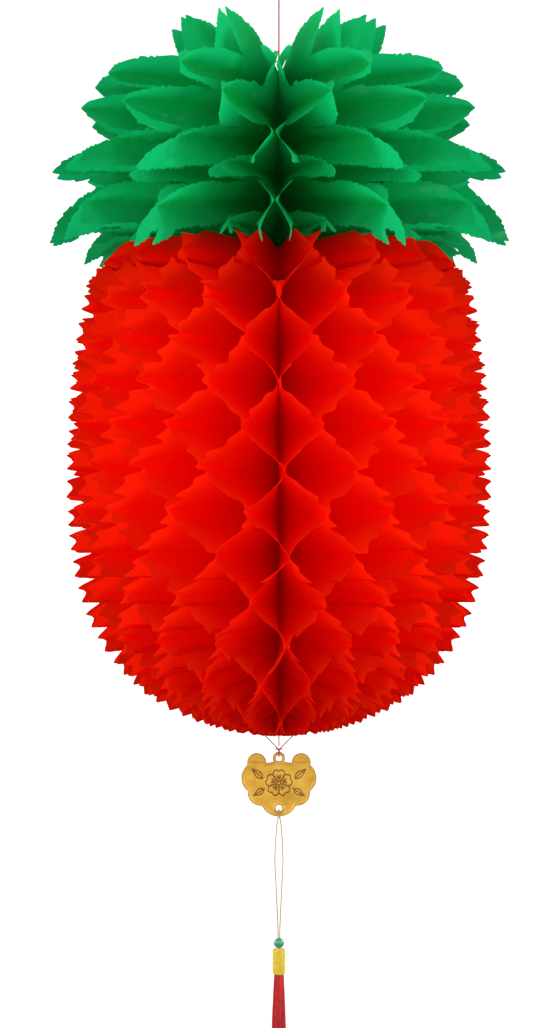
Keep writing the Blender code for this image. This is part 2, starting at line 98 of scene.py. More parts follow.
def smoothLine(points, steps):
    # a smooth curve through the points, with a few steps on each span
    points = [np.array(p, float) for p in points]
    ends = [points[0] * 2 - points[1]] + points + [points[-1] * 2 - points[-2]]
    line = []
    for i in range(len(points) - 1):
        a, b, c, d = ends[i:i + 4]
        for step in range(steps):
            t = step / steps
            line.append(0.5 * (2 * b + (c - a) * t + (2 * a - 5 * b + 4 * c - d) * t ** 2
                               + (3 * b - a - 3 * c + d) * t ** 3))
    return np.array(line + [points[-1]])


def lengthsAlong(line):
    # how far along the line each of its points is
    return np.concatenate([[0], np.cumsum(np.linalg.norm(np.diff(line, axis=0), axis=1))])


def evenLine(line, spacing):
    # the same line with points at even spacing
    lengths = lengthsAlong(line)
    count = max(2, int(round(lengths[-1] / spacing)))
    wanted = np.linspace(0, lengths[-1], count + 1)
    return np.stack([np.interp(wanted, lengths, line[:, k]) for k in range(line.shape[1])], axis=1)


def lineLength(line):
    return float(np.linalg.norm(np.diff(line, axis=0), axis=1).sum())


def crossFrames(line):
    # two directions across the line at each point, carried along it without twist
    ahead = np.gradient(line, axis=0)
    ahead /= np.linalg.norm(ahead, axis=1)[:, None]
    side = np.cross(ahead[0], [0.0, 1.0, 0.0])
    if np.linalg.norm(side) < 0.1:
        side = np.cross(ahead[0], [1.0, 0.0, 0.0])
    sides = []
    for direction in ahead:
        side = side - direction * side.dot(direction)
        side /= np.linalg.norm(side)
        sides.append(side)
    sides = np.array(sides)
    return sides, np.cross(ahead, sides)


def tubeMesh(line, radius, corners, start=0):
    # one tube along the line, closed at both ends
    sides, ups = crossFrames(line)
    radii = np.broadcast_to(radius, (len(line),))
    angles = np.arange(corners) * math.tau / corners
    ring = (sides[:, None, :] * np.cos(angles)[None, :, None]
            + ups[:, None, :] * np.sin(angles)[None, :, None])
    verts = (line[:, None, :] + ring * radii[:, None, None]).reshape(-1, 3)
    faces = gridFaces(len(line), corners, start, closed=True)
    last = start + (len(line) - 1) * corners
    faces.append(tuple(range(start + corners - 1, start - 1, -1)))
    faces.append(tuple(range(last, last + corners)))
    return verts, faces


def twistedMesh(line, diameter, plies, pitch, corners=6):
    # several plies twisted round the line, together as thick as the diameter
    share = 1 / (1 + 1 / math.sin(math.pi / plies)) if plies > 2 else 0.5
    plyRadius = diameter / 2 * share
    away = diameter / 2 - plyRadius
    sides, ups = crossFrames(line)
    lengths = lengthsAlong(line)
    verts, faces = [], []
    count = 0
    for ply in range(plies):
        turn = math.tau * (lengths / pitch + ply / plies)
        own = line + away * (sides * np.cos(turn)[:, None] + ups * np.sin(turn)[:, None])
        more, moreFaces = tubeMesh(own, plyRadius, corners, count)
        verts.append(more)
        faces += moreFaces
        count += len(more)
    return np.concatenate(verts), faces


def newMaterial(name):
    made = bpy.data.materials.new(name)
    made.use_nodes = True
    made.node_tree.nodes.clear()
    return made, made.node_tree.nodes, made.node_tree.links


def placeNode(nodes):
    return nodes.new("ShaderNodeTexCoord").outputs["Object"]


def noiseNode(nodes, links, place, scale, detail=3.0, roughness=0.5):
    made = nodes.new("ShaderNodeTexNoise")
    made.inputs["Scale"].default_value = scale
    made.inputs["Detail"].default_value = detail
    made.inputs["Roughness"].default_value = roughness
    links.new(place, made.inputs["Vector"])
    return made.outputs["Fac"]


def stretchNode(nodes, links, place, scale):
    made = nodes.new("ShaderNodeMapping")
    made.inputs["Scale"].default_value = scale
    links.new(place, made.inputs["Vector"])
    return made.outputs["Vector"]


def rampNode(nodes, links, fac, stops):
    made = nodes.new("ShaderNodeValToRGB")
    ramp = made.color_ramp
    while len(ramp.elements) < len(stops):
        ramp.elements.new(0.5)
    for element, (place, colour) in zip(ramp.elements, stops):
        element.position = place
        element.color = (*colour, 1)
    links.new(fac, made.inputs["Fac"])
    return made.outputs["Color"]


def bumpNode(nodes, links, height, strength, distance, below=None):
    made = nodes.new("ShaderNodeBump")
    made.inputs["Strength"].default_value = strength
    made.inputs["Distance"].default_value = distance
    links.new(height, made.inputs["Height"])
    if below:
        links.new(below, made.inputs["Normal"])
    return made.outputs["Normal"]


def principledNode(nodes, links, colour, normal, values):
    made = nodes.new("ShaderNodeBsdfPrincipled")
    for socket, value in values.items():
        made.inputs[socket].default_value = value
    links.new(colour, made.inputs["Base Color"])
    if normal:
        links.new(normal, made.inputs["Normal"])
    return made.outputs[0]


def endMaterial(nodes, links, shader):
    end = nodes.new("ShaderNodeOutputMaterial")
    links.new(shader, end.inputs["Surface"])


def paintedSheenPatches(nodes, links, place, colour, paintedSheen):
    # pale patches of painted sheen, laid over the colour
    stretched = stretchNode(nodes, links, place, (1.0, 1.0, 3.2))
    patch = noiseNode(nodes, links, stretched, scale=26.0, detail=6.0, roughness=0.62)
    mix = nodes.new("ShaderNodeMix")
    mix.data_type = "RGBA"
    # the colour sockets of this node: 0 is the factor, 6 and 7 the colours, and 2 the result
    links.new(rampNode(nodes, links, patch, [(0.64, (0, 0, 0)), (0.74, (1, 1, 1))]), mix.inputs[0])
    links.new(colour, mix.inputs[6])
    mix.inputs[7].default_value = (*paintedSheen, 1)
    return mix.outputs[2]


def paperMaterial(name, pale, full, deep, glow, through, paintedSheen=None):
    # thin dyed paper: cloudy colour, fine fibres, pale patches of painted sheen, and light that comes
    # through it
    made, nodes, links = newMaterial(name)
    place = placeNode(nodes)
    cloud = noiseNode(nodes, links, place, scale=28.0, detail=4.0, roughness=0.55)
    colour = rampNode(nodes, links, cloud, [(0.30, deep), (0.52, full), (0.75, pale)])
    # pale patches of painted sheen, where they are asked for
    if paintedSheen:
        colour = paintedSheenPatches(nodes, links, place, colour, paintedSheen)
    fine = stretchNode(nodes, links, place, (1.0, 1.0, 3.0))
    fibre = noiseNode(nodes, links, fine, scale=900.0, detail=5.0, roughness=0.7)
    broad = stretchNode(nodes, links, place, (1.0, 1.0, 0.4))
    crease = noiseNode(nodes, links, broad, scale=70.0, detail=3.0, roughness=0.5)
    normal = bumpNode(nodes, links, crease, strength=0.35, distance=0.002)
    normal = bumpNode(nodes, links, fibre, strength=0.25, distance=0.0002, below=normal)
    front = principledNode(nodes, links, colour, normal,
                           {"Roughness": 0.72, "Specular IOR Level": 0.12})
    back = nodes.new("ShaderNodeBsdfTranslucent")
    back.inputs["Color"].default_value = (*glow, 1)
    links.new(normal, back.inputs["Normal"])
    mix = nodes.new("ShaderNodeMixShader")
    mix.inputs["Fac"].default_value = through
    links.new(front, mix.inputs[1])
    links.new(back.outputs[0], mix.inputs[2])
    endMaterial(nodes, links, mix.outputs[0])
    return made


def threadMaterial(name, light, dark):
    made, nodes, links = newMaterial(name)
    place = placeNode(nodes)
    tint = noiseNode(nodes, links, place, scale=300.0)
    fuzz = noiseNode(nodes, links, place, scale=4000.0, detail=4.0, roughness=0.7)
    colour = rampNode(nodes, links, tint, [(0.3, dark), (0.7, light)])
    normal = bumpNode(nodes, links, fuzz, strength=0.5, distance=0.0001)
    endMaterial(nodes, links, principledNode(nodes, links, colour, normal,
                                             {"Roughness": 0.7, "Sheen Weight": 0.3}))
    return made


def giltMaterial(name, light, full, dark, roughness, metallic):
    # gold-coloured plating, brushed and a little tarnished
    made, nodes, links = newMaterial(name)
    place = placeNode(nodes)
    cloud = noiseNode(nodes, links, place, scale=120.0, detail=4.0, roughness=0.6)
    colour = rampNode(nodes, links, cloud, [(0.30, dark), (0.50, full), (0.72, light)])
    stretched = stretchNode(nodes, links, place, (1.0, 1.0, 0.15))
    brushed = noiseNode(nodes, links, stretched, scale=2500.0, detail=2.0)
    pits = noiseNode(nodes, links, place, scale=900.0, detail=3.0, roughness=0.6)
    normal = bumpNode(nodes, links, pits, strength=0.25, distance=0.0002)
    normal = bumpNode(nodes, links, brushed, strength=0.12, distance=0.0001, below=normal)
    endMaterial(nodes, links, principledNode(nodes, links, colour, normal,
                                             {"Metallic": metallic, "Roughness": roughness}))
    return made


def glassMaterial(name, light, dark):
    # opaque pressed glass, like jade, with a clear glossy coat
    made, nodes, links = newMaterial(name)
    cloud = noiseNode(nodes, links, placeNode(nodes), scale=350.0, detail=4.0, roughness=0.6)
    colour = rampNode(nodes, links, cloud, [(0.35, dark), (0.7, light)])
    endMaterial(nodes, links, principledNode(nodes, links, colour, None, {
        "Roughness": 0.22, "Coat Weight": 0.8, "Coat Roughness": 0.06,
        "Subsurface Weight": 0.2, "Subsurface Scale": 0.002}))
    return made


redPaper = paperMaterial("redPaper", pale=(0.93, 0.040, 0.005), full=(0.90, 0.018, 0.003),
                         deep=(0.86, 0.010, 0.002), glow=(1.0, 0.018, 0.001), through=0.78)
# the pale patches laid over the green paper are painted sheen
greenPaper = paperMaterial("greenPaper", pale=(0.010, 0.46, 0.15), full=(0.0, 0.36, 0.105),
                           deep=(0.0, 0.27, 0.07), glow=(0.008, 0.70, 0.22), through=0.62,
                           paintedSheen=(0.16, 0.48, 0.25))
redThread = threadMaterial("redThread", light=(0.75, 0.06, 0.06), dark=(0.50, 0.02, 0.02))
beigeCord = threadMaterial("beigeCord", light=(0.62, 0.41, 0.11), dark=(0.42, 0.25, 0.05))
yellowSilk = threadMaterial("yellowSilk", light=(0.92, 0.72, 0.04), dark=(0.75, 0.50, 0.02))
redSilk = threadMaterial("redSilk", light=(0.80, 0.015, 0.008), dark=(0.50, 0.004, 0.004))
gilt = giltMaterial("gilt", light=(0.90, 0.58, 0.10), full=(0.84, 0.48, 0.05),
                    dark=(0.70, 0.36, 0.03), roughness=0.46, metallic=0.45)
darkGilt = giltMaterial("darkGilt", light=(0.42, 0.20, 0.02), full=(0.33, 0.14, 0.012),
                        dark=(0.24, 0.09, 0.01), roughness=0.6, metallic=0.3)
rimGilt = giltMaterial("rimGilt", light=(0.66, 0.38, 0.06), full=(0.56, 0.29, 0.04),
                       dark=(0.44, 0.20, 0.02), roughness=0.5, metallic=0.4)
greenGlass = glassMaterial("greenGlass", light=(0.06, 0.42, 0.22), dark=(0.01, 0.24, 0.10))


# The cords come first: the hanging thread with its loop, the pendant threads, the tassel's cord

hangingThread = {
    "diameter": 0.0010,
    "twist": (3, 0.0032),  # plies, and the length of one turn
    "loopHeight": 0.0310,
    "loopWidth": 0.0110,
    "tail": 0.0070,
    "foot": -0.0852,  # the crown's top
    "gap": 0.0003,
}


def hangingRoute():
    knot = -hangingThread["loopHeight"]
    half = hangingThread["loopWidth"] / 2
    beside = hangingThread["diameter"] + hangingThread["gap"]
    foot = hangingThread["foot"] + hangingThread["gap"]
    tail = hangingThread["tail"]
    return [
        (0, 0, foot),
        (0, 0, foot + (knot - foot) * 0.5),
        (0, 0, knot - 0.10 * hangingThread["loopHeight"]),
        (0, 0, knot),
        (-half * 0.35, 0, knot * 0.83),
        (-half * 0.85, 0, knot * 0.55),
        (-half, 0, knot * 0.30),
        (-half * 0.72, 0, knot * 0.08),
        (0, 0, 0),
        (half * 0.72, 0, knot * 0.08),
        (half, 0, knot * 0.30),
        (half * 0.90, 0, knot * 0.55),
        (half * 0.35 + beside * 0.5, 0, knot * 0.83),
        (beside, 0, knot),
        (beside + 0.25 * tail, 0, knot - 0.5 * tail),
        (beside + 0.60 * tail, 0, knot - tail),
    ]


def twistedCord(name, route, diameter, twist, material, node):
    plies, pitch = twist
    line = evenLine(smoothLine(route, 8), pitch / 10)
    verts, faces = twistedMesh(line, diameter, plies, pitch)
    piece = addPiece(name, verts, faces, material)
    standIn(piece, node)
    return piece, line


def tieKnot(name, node):
    # a thread wound twice round the strands it ties, as large as the solid knot
    turns = 2
    low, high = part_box(node)
    thread = (high.z - low.z) / turns
    middle = (low + high) / 2
    steps = 16 * turns
    angle = np.linspace(0, math.tau * turns, steps + 1)
    rise = np.linspace(-0.5, 0.5, steps + 1) * thread * (turns - 1) * 1.02
    radius = (high.y - low.y) / 2 - thread + thread / 2
    line = np.stack([middle[0] + radius * np.cos(angle), middle[1] + radius * np.sin(angle),
                     middle[2] + rise], axis=1)
    verts, faces = tubeMesh(line, thread / 2, 8)
    piece = addPiece(name, verts, faces, redThread)
    standIn(piece, node)
    return piece


thread, threadLine = twistedCord("hangingThread", hangingRoute(), hangingThread["diameter"],
                                 hangingThread["twist"], redThread, "hanging_thread")
hangingKnot = tieKnot("hangingKnot", "hanging_knot")
print("hanging thread:", round(lineLength(threadLine), 4), "m")

pendant = {
    "thread": 0.0008,
    "twist": (2, 0.0026),
    "spread": 0.0077,
    "fruitBottom": -0.4617,
    "knotDrop": 0.0080,
    "charmDrop": 0.0279,
    "charmThickness": 0.0024,
    "ringRadius": 0.0036,
    "ringHole": 0.0018,
    "ringHeight": 0.0147,
    "lowerHole": 0.0019,
    "lowerHoleDepth": 0.0137,
    "gap": 0.0003,
}
pendantKnotHeight = pendant["fruitBottom"] - pendant["knotDrop"]
charmHeight = pendant["fruitBottom"] - pendant["charmDrop"]


def pendantRoute():
    thread = pendant["thread"]
    gap = pendant["gap"]
    ringHeight = charmHeight + pendant["ringHeight"]
    beside = (thread + gap) / 2
    front = pendant["charmThickness"] / 2 + gap + thread / 2
    ringTop = ringHeight + pendant["ringRadius"]
    top = pendant["fruitBottom"] - gap - thread / 2
    seat = ringHeight + pendant["ringHole"] - gap - thread / 2
    spread = pendant["spread"]
    down = [
        (-spread, 0, top),
        (-spread * 0.55, 0, top + (pendantKnotHeight - top) * 0.45),
        (-beside, 0, pendantKnotHeight),
        (-beside * 0.8, -front * 0.95, ringTop + 0.1 * pendant["ringRadius"]),
        (-beside * 0.3, -front, (ringTop + seat) / 2),
        (0, -front * 0.55, seat),
    ]
    return down + [(-x, -y, z) for x, y, z in reversed(down)]


outer, outerLine = twistedCord("pendantThreadOuter", pendantRoute(), pendant["thread"],
                               pendant["twist"], redThread, "pendant_thread_outer")
low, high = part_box("pendant_thread_middle")
middleRoute = [(0, 0, high.z), (0, 0, (low.z + high.z) / 2), (0, 0, low.z)]
middle, _ = twistedCord("pendantThreadMiddle", middleRoute, pendant["thread"], pendant["twist"],
                        redThread, "pendant_thread_middle")
pendantKnot = tieKnot("pendantKnot", "pendant_knot")
print("pendant threads:", round(lineLength(outerLine), 4), "m")

tasselCord = {
    "diameter": 0.0007,
    "twist": (3, 0.0022),
    "drop": 0.0740,
    "spread": 0.0023,
    "charmLowPoint": -0.0123 - 0.0062,  # below the charm's middle
    "beadDiameter": 0.0059,
    "gap": 0.0003,
}
lowerHoleHeight = charmHeight - pendant["lowerHoleDepth"]
beadHeight = lowerHoleHeight - tasselCord["drop"] - tasselCord["beadDiameter"] / 2
capTop = beadHeight - tasselCord["beadDiameter"] / 2 - tasselCord["gap"]


def tasselCordRoute():
    cord = tasselCord["diameter"]
    gap = tasselCord["gap"]
    front = pendant["charmThickness"] / 2 + gap + cord / 2
    beside = (cord + gap) / 2
    seat = lowerHoleHeight - pendant["lowerHole"] + gap + cord / 2
    edge = charmHeight + tasselCord["charmLowPoint"]
    beadTop = beadHeight + tasselCord["beadDiameter"] / 2
    drop = edge - beadTop
    spread = tasselCord["spread"]
    up = [
        (-beside, 0, capTop + gap),
        (-beside, 0, beadTop),
        (-beside * 1.3, 0, beadTop + drop * 0.12),
        (-spread * 0.75, 0, beadTop + drop * 0.45),
        (-spread, 0, beadTop + drop * 0.66),
        (-spread * 0.6, -front * 0.7, edge - drop * 0.10),
        (-beside * 0.9, -front * 1.1, edge - cord),
        (-beside * 0.5, -front * 1.15, (edge + seat) / 2),
        (-beside * 0.1, -front * 0.85, seat + 0.5 * cord),
    ]
    return up + [(-x, -y, z) for x, y, z in reversed(up)]


silkCord, silkLine = twistedCord("tasselCord", tasselCordRoute(), tasselCord["diameter"],
                                 tasselCord["twist"], beigeCord, "tassel_cord")
print("tassel cord:", round(lineLength(silkLine), 4), "m")


# The lock charm: a gilt plate with a raised rim, a ring, a lower hole and an engraved blossom

charm = {
    # right half of the edge from the charm's middle: each point and how far the edge after it bulges
    "edge": [(0.0072, 0.0120, 0.0062), (0.0180, 0.0108, 0.0036), (0.0177, -0.0040, 0.0028),
             (0.0097, -0.0123, 0.0062)],
    "arcSteps": 26,
    "rim": 0.0011,
    "rimSlope": 0.0004,
    "field": 0.00042,  # how far the field lies under the rim
    "fieldTop": 0.0128,  # above this the plate is level with the rim, under the ring
    "fieldTopSlope": 0.0008,
    "dome": (0.014, 0.012),  # half the width and height of the field's swelling
    "domeDrop": 0.001,
    "domeShare": 0.75,
    "groove": 0.00034,
    "grooveDepth": 0.00042,
    "darkFrom": 0.36,  # the grooves are dark from this share of their depth
    "darkEdge": 0.00057,
    "grid": 0.00026,
    "edgeRound": 0.00038,
    "edgeThickness": 0.45,  # share of the thickness at the very edge
}

# five petals with veins and four leaves, in millimetres; petals and veins run out from the centre
blossom = {
    "centre": (0.0, 0.6),
    "eye": 1.0,
    "petals": 5,
    "petal": [(1.6, 0.6), (2.9, 2.4), (5.4, 3.3), (7.4, 1.9), (6.8, 0.0), (7.4, -1.9), (5.4, -3.3),
              (2.9, -2.4), (1.6, -0.6)],
    "veins": [((2.4, -0.45), (4.4, -1.17)), ((2.4, 0), (4.4, 0)), ((2.4, 0.45), (4.4, 1.17))],
    # where each right-hand leaf starts, its tip, and half its width
    "leaves": [((9.0, 3.0), (15.4, 8.6), 1.7), ((8.2, -2.8), (14.4, -6.6), 1.6)],
}


def arcPoints(start, end, bulge, steps):
    # a round edge from start to end that bulges to its left, without the end
    start, end = np.array(start, float), np.array(end, float)
    chord = end - start
    half = np.linalg.norm(chord) / 2
    radius = (half ** 2 + bulge ** 2) / (2 * bulge)
    outward = np.array([-chord[1], chord[0]]) / (2 * half)
    centre = (start + end) / 2 - outward * (radius - bulge)
    first = math.atan2(start[1] - centre[1], start[0] - centre[0])
    sweep = 4 * math.atan(bulge / half)
    angles = first - sweep * np.arange(steps) / steps
    return [centre + radius * np.array([math.cos(a), math.sin(a)]) for a in angles]


def charmOutline():
    # the whole edge, clockwise from the top of the ring
    ring = np.array([0, pendant["ringHeight"]])
    angles = np.linspace(math.pi / 2, math.radians(-35), 17)
    line = [ring + pendant["ringRadius"] * np.array([math.cos(a), math.sin(a)]) for a in angles]
    edge = charm["edge"]
    corners = [point[:2] for point in edge] + [(-edge[-1][0], edge[-1][1])]
    for index, point in enumerate(edge):
        line += arcPoints(corners[index], corners[index + 1], point[2], charm["arcSteps"])
    lowest = len(line) - charm["arcSteps"]
    left = [np.array([-point[0], point[1]]) for point in reversed(line[:lowest + 1])]
    return np.array(line + left[:-1])


def circlePoints(centre, radius, count):
    angles = np.arange(count) * math.tau / count
    return np.stack([centre[0] + radius * np.cos(angles), centre[1] + radius * np.sin(angles)], axis=1)


def lineDistance(points, pieces):
    # distance from each point to the nearest of these straight pieces
    nearest = np.full(len(points), 1.0)
    for a, b in pieces:
        along = b - a
        share = np.clip(((points - a) @ along) / max(along @ along, 1e-16), 0, 1)
        away = np.linalg.norm(points - a - share[:, None] * along, axis=1)
        nearest = np.minimum(nearest, away)
    return nearest


def edgeDistance(points, loops):
    return np.min([lineDistance(points, zip(loop, np.roll(loop, -1, axis=0))) for loop in loops],
                  axis=0)


def engravedLines():
    lines = []
    centre = np.array(blossom["centre"])
    for petal in range(blossom["petals"]):
        angle = math.pi / 2 + petal * math.tau / blossom["petals"]
        out = np.array([math.cos(angle), math.sin(angle)])
        side = np.array([-out[1], out[0]])
        lines.append(smoothLine([centre + out * a + side * b for a, b in blossom["petal"]], 5))
        for (low, lowSide), (high, highSide) in blossom["veins"]:
            lines.append(np.array([centre + out * low + side * lowSide,
                                   centre + out * high + side * highSide]))
    angles = np.linspace(0, math.tau, 19)
    eye = blossom["eye"]
    lines.append(np.stack([centre[0] + eye * np.cos(angles), centre[1] + eye * np.sin(angles)], axis=1))
    for side in (-1, 1):
        for start, tip, belly in blossom["leaves"]:
            start = np.array([side * start[0], start[1]])
            along = np.array([side * tip[0], tip[1]]) - start
            across = np.array([-along[1], along[0]]) / np.linalg.norm(along)
            lines.append(np.array([start, start + along * 0.8]))
            for way in (-1, 1):
                widest = start + along * 0.4 + across * belly * way
                lines.append(smoothLine([start, widest, start + along], 6))
    return [np.array(line) / 1000 for line in lines]


def gridPoints(low, high, spacing):
    xs = np.arange(low[0], high[0], spacing)
    rows = []
    for i, z in enumerate(np.arange(low[1], high[1], spacing * 0.87)):
        rows.append(np.stack([xs + (i % 2) * spacing / 2, np.full(len(xs), z)], axis=1))
    return np.concatenate(rows)


def insideLoop(points, loop):
    inside = np.zeros(len(points), bool)
    for a, b in zip(loop, np.roll(loop, -1, axis=0)):
        crosses = (a[1] > points[:, 1]) != (b[1] > points[:, 1])
        with np.errstate(divide="ignore", invalid="ignore"):
            spot = (b[0] - a[0]) * (points[:, 1] - a[1]) / (b[1] - a[1]) + a[0]
        inside ^= crosses & (points[:, 0] < spot)
    return inside


def isClockwise(flat, t):
    a, b, c = flat[list(t)]
    return (b[0] - a[0]) * (c[1] - a[1]) - (b[1] - a[1]) * (c[0] - a[0]) < 0


def openEdges(faces):
    seen = {}
    for face in faces:
        for a, b in zip(face, face[1:] + face[:1]):
            seen[(a, b)] = True
    return [edge for edge in seen if (edge[1], edge[0]) not in seen]


def plateTriangles(loops):
    # the flat plate inside the first loop and outside the others, filled with even triangles
    outline, holes = loops[0], loops[1:]
    edges, start = [], 0
    for loop in loops:
        edges += [(start + i, start + (i + 1) % len(loop)) for i in range(len(loop))]
        start += len(loop)
    filling = gridPoints(outline.min(axis=0), outline.max(axis=0), charm["grid"])
    filling = filling[edgeDistance(filling, loops) > charm["grid"] * 0.6]
    coords = [Vector(point) for point in np.concatenate([*loops, filling])]
    made = geometry.delaunay_2d_cdt(coords, edges, [list(range(len(outline)))], 0, 1e-7)
    flat = np.array([tuple(v) for v in made[0]])
    middle = np.array([flat[list(face)].mean(axis=0) for face in made[2]])
    keep = insideLoop(middle, outline)
    for hole in holes:
        keep &= ~insideLoop(middle, hole)
    triangles = [tuple(face) for face, wanted in zip(made[2], keep) if wanted]
    # the front is seen from -Y, so a front face runs counter-clockwise in x and z
    return flat, [t[::-1] if isClockwise(flat, t) else t for t in triangles]


def plateRelief(flat, away):
    # half the plate's thickness at each point, and how much of the grooves' depth is cut there
    rounded = np.clip(away / charm["edgeRound"], 0, 1)
    thin = charm["edgeThickness"]
    height = pendant["charmThickness"] / 2 * (thin + (1 - thin) * np.sqrt(1 - (1 - rounded) ** 2))
    inField = np.clip((away - charm["rim"]) / charm["rimSlope"], 0, 1)
    inField = inField * np.clip((charm["fieldTop"] - flat[:, 1]) / charm["fieldTopSlope"], 0, 1)
    wide, tall = charm["dome"]
    dome = np.exp(-((flat[:, 0] / wide) ** 2 + ((flat[:, 1] + charm["domeDrop"]) / tall) ** 2))
    engraved = [pair for line in engravedLines() for pair in zip(line, line[1:])]
    cut = np.exp(-(lineDistance(flat, engraved) / charm["groove"]) ** 2) * inField
    height = height - charm["field"] * inField * (1 - charm["domeShare"] * dome)
    return height - charm["grooveDepth"] * cut, cut


def makeCharm():
    ringHole = circlePoints((0, pendant["ringHeight"]), pendant["ringHole"], 28)[::-1]
    lowerHole = circlePoints((0, -pendant["lowerHoleDepth"]), pendant["lowerHole"], 28)[::-1]
    loops = [charmOutline(), ringHole, lowerHole]
    flat, faces = plateTriangles(loops)
    away = edgeDistance(flat, loops)
    height, cut = plateRelief(flat, away)
    count = len(flat)
    front = np.stack([flat[:, 0], -height, flat[:, 1] + charmHeight], axis=1)
    back = np.stack([flat[:, 0], height, flat[:, 1] + charmHeight], axis=1)
    allFaces = faces + [tuple(i + count for i in t[::-1]) for t in faces]
    allFaces += [(b, a, a + count, b + count) for a, b in openEdges(faces)]
    piece = addPiece("charm", np.concatenate([front, back]), allFaces, gilt)
    piece.data.materials.append(darkGilt)
    piece.data.materials.append(rimGilt)
    depth = np.concatenate([cut, cut])
    edgeBand = np.concatenate([away, away])
    for polygon in piece.data.polygons:
        own = list(polygon.vertices)
        if depth[own].mean() > charm["darkFrom"]:
            polygon.material_index = 1
        elif edgeBand[own].mean() < charm["darkEdge"]:
            polygon.material_index = 2
    piece.data.set_sharp_from_angle(angle=math.radians(50))
    standIn(piece, "charm")
    print("charm:", len(allFaces), "faces")


makeCharm()


# The bead, the wound cap and the tassel

bead = {
    "boreGap": 1.5,  # room round the doubled cord, in gaps
    "lipTurn": 1.15,
    "lipInset": 0.93,
    "rings": 25,
    "steps": 40,
}

tassel = {
    "capLength": 0.0145,
    "capRadius": 0.0037,
    "windings": 30,
    "yarn": 0.56,  # the yarn's radius as a share of the windings' pitch
    "windingSteps": 26,
    "windingWander": (0.00003, 0.00004),  # sideways and along the cap
    "coreSteps": 24,
    # how far inside the cap's ends each ring of the core lies, and its radius
    "coreEnds": (0.00010, 0.0011),
    "core": [0.0021, 0.0030, 0.0032, 0.0030, 0.0022],
    "length": 0.0850,
    "neck": 0.0030,
    "skirt": 0.0055,
    "strands": 230,
    "strandRadius": 0.00021,
    "goldenAngle": 2.399963,
    "bunches": 9,
    "gather": 0.35,  # how far the strands draw to their bunch
    "stray": 0.12,
    "wave": 0.00016,
    "uneven": 0.018,  # how much shorter the shortest strand is
}


def turnedMesh(profile, steps):
    # a closed profile of radius and height, turned round the axis
    profile = np.array(profile)
    angles = np.arange(steps) * math.tau / steps
    radius = profile[:, 0][:, None]
    height = np.repeat(profile[:, 1][:, None], steps, axis=1)
    verts = np.stack([radius * np.cos(angles), radius * np.sin(angles), height], axis=-1)
    rows = len(profile)
    faces = []
    for i in range(rows):
        for j in range(steps):
            a, b = i * steps + j, i * steps + (j + 1) % steps
            c, d = (i + 1) % rows * steps + (j + 1) % steps, (i + 1) % rows * steps + j
            faces.append((a, d, c, b))
    return verts.reshape(-1, 3), faces


def makeBead():
    radius = tasselCord["beadDiameter"] / 2
    bore = tasselCord["diameter"] + bead["boreGap"] * tasselCord["gap"]
    lip = math.pi / 2 - math.asin(bore / radius) * bead["lipTurn"]
    outside = np.linspace(lip, -lip, bead["rings"])
    profile = [(radius * math.cos(a), radius * math.sin(a)) for a in outside]
    inside = profile[0][1] * bead["lipInset"]
    profile += [(bore, -inside), (bore, 0), (bore, inside)]
    verts, faces = turnedMesh(profile, bead["steps"])
    piece = addPiece("tasselBead", verts + (0, 0, beadHeight), faces, greenGlass)
    standIn(piece, "tassel_bead")


def makeCap():
    # yellow silk wound round the tassel's neck, one turn over the other
    length = tassel["capLength"]
    turns = tassel["windings"]
    yarn = length / (turns + 1) * tassel["yarn"]
    share = np.linspace(0, 1, tassel["windingSteps"] * turns + 1)
    chance = np.random.default_rng(3)
    wander = np.interp(share, np.linspace(0, 1, turns * 2), chance.uniform(-1, 1, turns * 2))
    sideways, along = tassel["windingWander"]
    ends = np.clip(np.minimum(share, 1 - share) / 0.10, 0, 1)
    radius = (tassel["capRadius"] - yarn) * (0.80 + 0.20 * np.sqrt(1 - (1 - ends) ** 2))
    radius = radius + wander * sideways
    angle = share * math.tau * turns
    height = capTop - yarn - share * (length - 2 * yarn) + wander * along
    line = np.stack([radius * np.cos(angle), radius * np.sin(angle), height], axis=1)
    verts, faces = tubeMesh(line, yarn, 6)
    end, shoulder = tassel["coreEnds"]
    depths = (end, shoulder, length * 0.5, length - shoulder, length - end)
    coreLine = np.array([(0, 0, capTop - depth) for depth in depths])
    core, coreFaces = tubeMesh(coreLine, np.array(tassel["core"]), tassel["coreSteps"], len(verts))
    piece = addPiece("tasselCap", np.concatenate([verts, core]), faces + coreFaces, yellowSilk)
    standIn(piece, "tassel_cap")


def makeTassel():
    top = capTop - tassel["capLength"] - tasselCord["gap"]
    widths = [tassel["neck"], (tassel["neck"] + tassel["skirt"]) / 2, tassel["skirt"]]
    strandRadius = tassel["strandRadius"]
    chance = np.random.default_rng(9)
    share = np.linspace(0, 1, 15)
    width = np.interp(share, [0, 0.3, 1], widths) - strandRadius * 1.6
    verts, faces = [], []
    count = 0
    for number in range(tassel["strands"]):
        # strands fill the neck evenly and gather in loose bunches lower down
        spread = math.sqrt((number + 0.5) / tassel["strands"])
        angle = number * tassel["goldenAngle"] % math.tau
        bunch = round(angle / math.tau * tassel["bunches"]) / tassel["bunches"] * math.tau
        pull = tassel["gather"] * np.sin(math.pi * share) * (1 + 0.3 * math.sin(number))
        around = angle * (1 - pull) + bunch * pull
        around = around + chance.uniform(-tassel["stray"], tassel["stray"]) * share
        wave = np.sin(share * chance.uniform(8, 16) + chance.uniform(0, 6.28))
        radius = width * spread * (1 - 0.06 * np.sin(share * 7 + number))
        radius = np.clip(radius + tassel["wave"] * wave * share, 0, width)
        end = tassel["length"] * (1 - tassel["uneven"] * chance.random())
        height = top - 0.0001 - share * (end - 0.0002)
        line = np.stack([radius * np.cos(around), radius * np.sin(around), height], axis=1)
        more, moreFaces = tubeMesh(line, strandRadius * chance.uniform(0.85, 1.1), 5, count)
        verts.append(more)
        faces += moreFaces
        count += len(more)
    piece = addPiece("tassel", np.concatenate(verts), faces, redSilk)
    standIn(piece, "tassel")
    print("tassel:", tassel["strands"], "strands")


